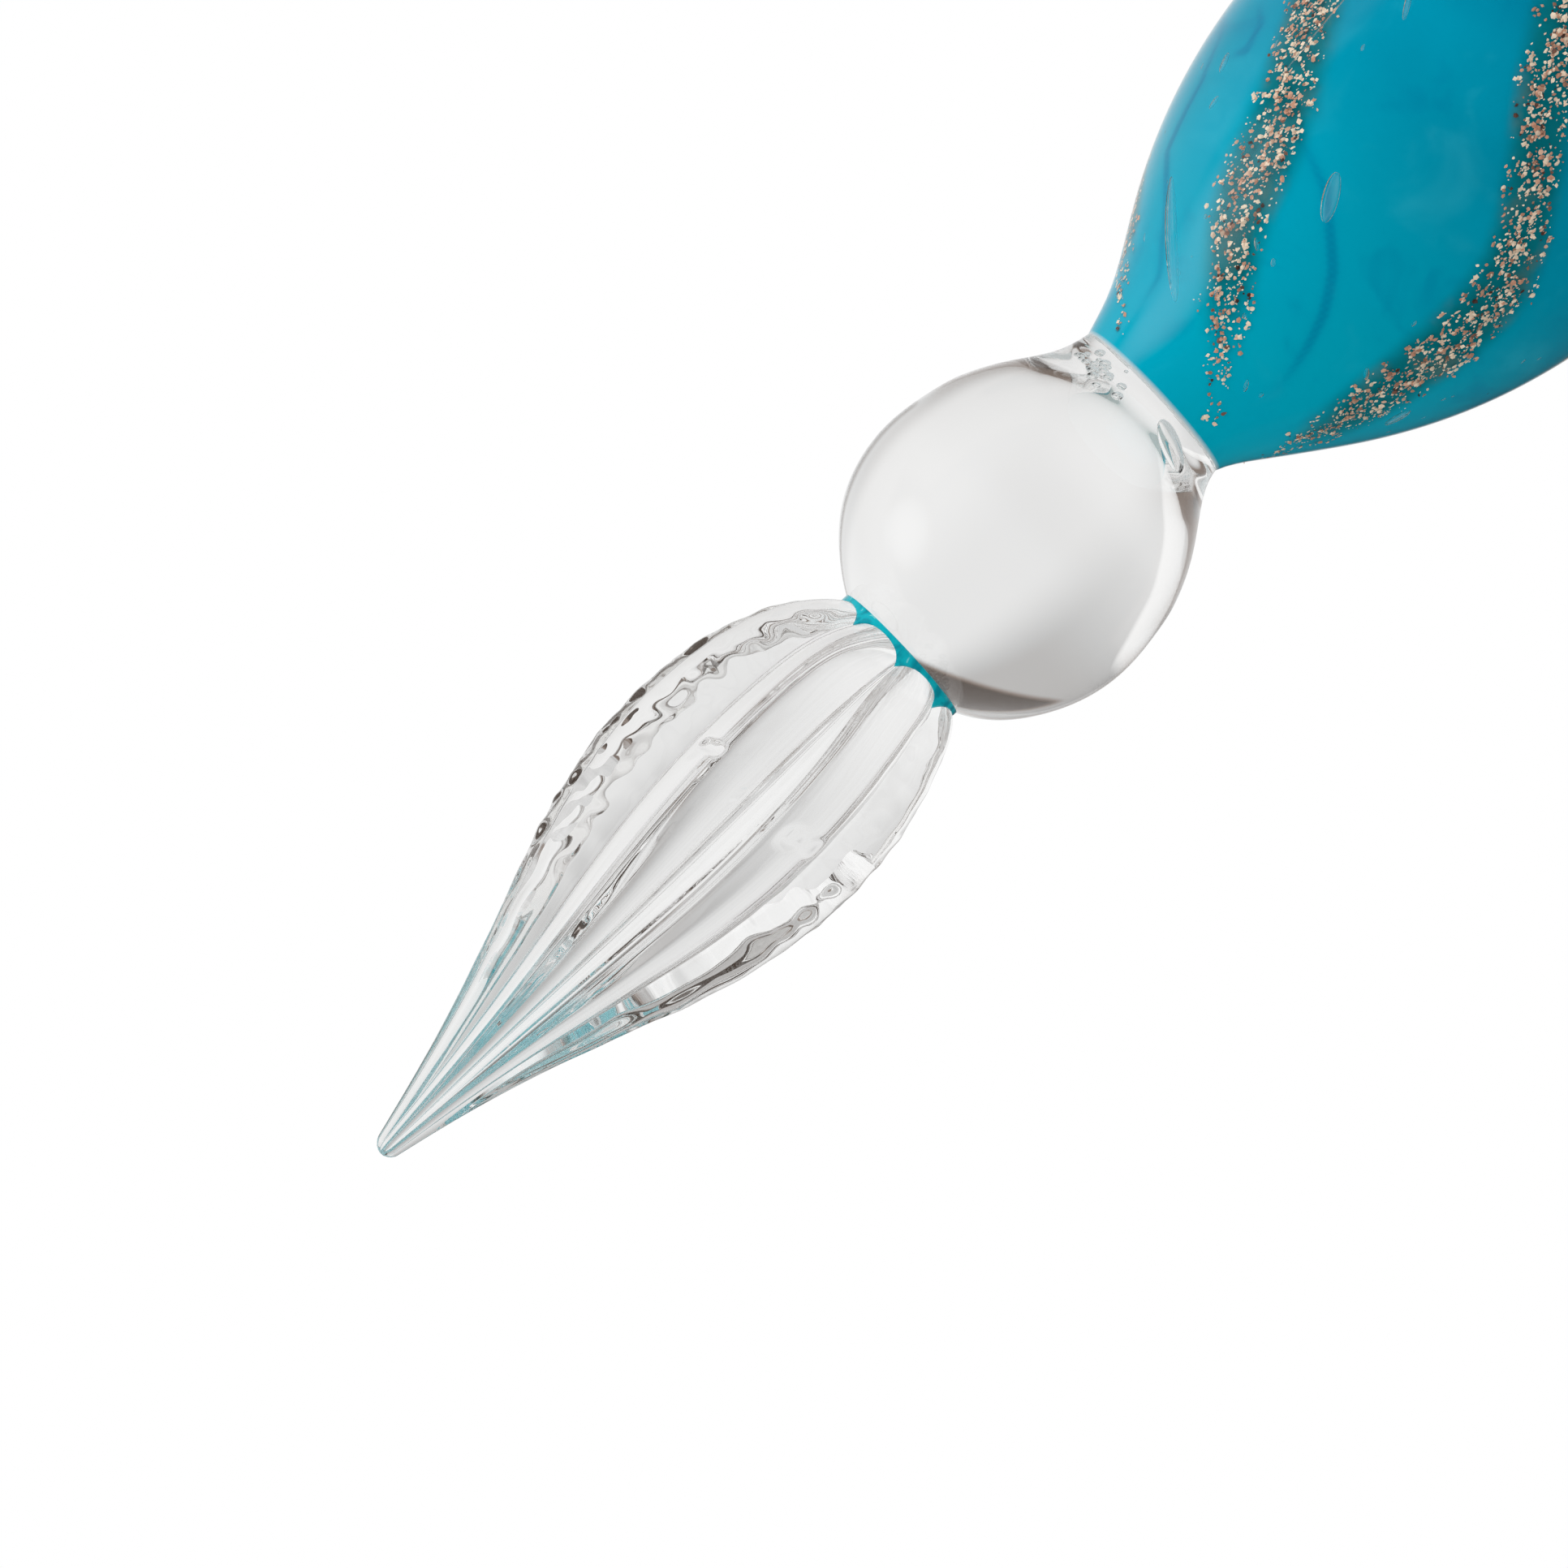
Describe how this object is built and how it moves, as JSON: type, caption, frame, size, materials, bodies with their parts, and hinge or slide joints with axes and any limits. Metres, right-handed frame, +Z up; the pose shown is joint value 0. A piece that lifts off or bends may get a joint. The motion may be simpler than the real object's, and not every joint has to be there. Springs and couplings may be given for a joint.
{
  "type": "glass dip pen",
  "caption": "Lampworked glass dip pen: a clear spiral-fluted nib, turquoise collar and clear ball under a bulbous turquoise handle with goldstone ribbons, tapering to a slim shaft.",
  "frame": {"origin": "on the handle's axis, level with the writing end of the nib", "axes": "+Z up the pen's axis from the nib's tip to the tail, -Y is the front, +X to the right of the front"},
  "size_m": [0.0158, 0.0158, 0.1659],
  "materials": {
    "clear_glass": "fire-polished clear glass with a faint grey-green edge tint",
    "turquoise_glass": "glossy opaque turquoise glass with darker blue wisps",
    "goldstone_glass": "dark teal glass crowded with bright copper flakes"
  },
  "bodies": {
    "root": {"nib": "clear_glass", "nib_collar": "turquoise_glass", "ball": "clear_glass", "handle_core": "turquoise_glass", "handle_casing": "clear_glass", "tail_drop": "clear_glass", "goldstone_ribbon_1": "goldstone_glass", "goldstone_ribbon_2": "goldstone_glass", "goldstone_ribbon_3": "goldstone_glass", "goldstone_ribbon_4": "goldstone_glass", "goldstone_ribbon_5": "goldstone_glass"}
  },
  "joints": []
}
